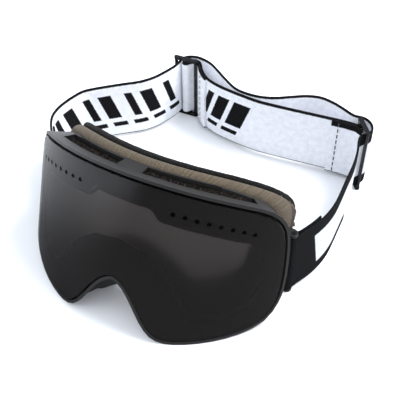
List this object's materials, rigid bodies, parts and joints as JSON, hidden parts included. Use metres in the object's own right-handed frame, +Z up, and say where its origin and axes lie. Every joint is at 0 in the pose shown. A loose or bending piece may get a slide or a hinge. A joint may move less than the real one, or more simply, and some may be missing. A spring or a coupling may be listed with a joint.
{
  "type": "ski goggles",
  "caption": "Cylindrical-lens ski goggles with a magnetic snap-off lens, foam face ring and a double elastic strap with two adjusters.",
  "frame": {"origin": "on the table, under the middle of the whole object's box, as the goggles lie on their rim, strap brackets and adjusters", "axes": "+Z up from the table, -Y the way the lens faces, +X to the right when the lens is seen from the front"},
  "size_m": [0.2119, 0.2171, 0.103],
  "materials": {
    "smoke_lens": "polished, dark smoke tint",
    "gasket_foam": "closed-cell foam tape",
    "clear_lens": "clear, polished",
    "carrier_plastic": "fine matt",
    "magnet_metal": "nickel plated",
    "frame_plastic": "satin, fine texture",
    "soft_frame": "matt soft plastic",
    "taupe_foam": "soft foam with a napped skin",
    "black_fleece": "short fleece",
    "vent_foam": "open-cell foam",
    "black_nylon": "satin moulded nylon",
    "bar_steel": "drawn wire",
    "white_webbing": "ribbed elastic jacquard with black edges",
    "black_thread": "sewing thread",
    "grey_thread": "sewing thread",
    "gloss_black": "moulded, glossy"
  },
  "bodies": {
    "frame": {"front_frame": "frame_plastic", "frame_magnets": "magnet_metal", "face_flange": "soft_frame", "face_foam": "taupe_foam", "face_fleece": "black_fleece", "top_vent_foam_right": "vent_foam", "top_vent_foam_left": "vent_foam", "bottom_vent_foam_right": "vent_foam", "bottom_vent_foam_left": "vent_foam", "strap_bracket_right": "black_nylon", "strap_bracket_left": "black_nylon", "strap_bar_right": "bar_steel", "strap_bar_left": "bar_steel"},
    "lens": {"outer_lens": "smoke_lens", "lens_gasket": "gasket_foam", "inner_lens": "clear_lens", "lens_carrier": "carrier_plastic", "lens_magnets": "magnet_metal", "lens_vent_foam_right": "vent_foam", "lens_vent_foam_left": "vent_foam"},
    "strap": {"long_strap": "white_webbing", "back_strap": "white_webbing", "end_stitching": "black_thread", "fold_stitching": "grey_thread"},
    "adjuster_right": {"slider_right": "gloss_black"},
    "adjuster_left": {"slider_left": "gloss_black"}
  },
  "joints": [
    {"name": "lens_release", "type": "slide", "parent": "frame", "child": "lens", "axis": [0, -0.9426, 0.3338], "range_m": [0, 0.04]},
    {"name": "strap_tilt", "type": "hinge", "parent": "frame", "child": "strap", "pos_m": [0.0063, -0.0317, 0.0265], "axis": [1, 0, 0], "range_deg": [0, 35], "deforming": ["long_strap"]},
    {"name": "adjuster_right_slide", "type": "slide", "parent": "strap", "child": "adjuster_right", "axis": [0, -1, 0], "range_m": [0, 0.015], "deforming": ["back_strap"]},
    {"name": "adjuster_left_slide", "type": "slide", "parent": "strap", "child": "adjuster_left", "axis": [0, -1, 0], "range_m": [0, 0.015], "deforming": ["back_strap"]}
  ]
}
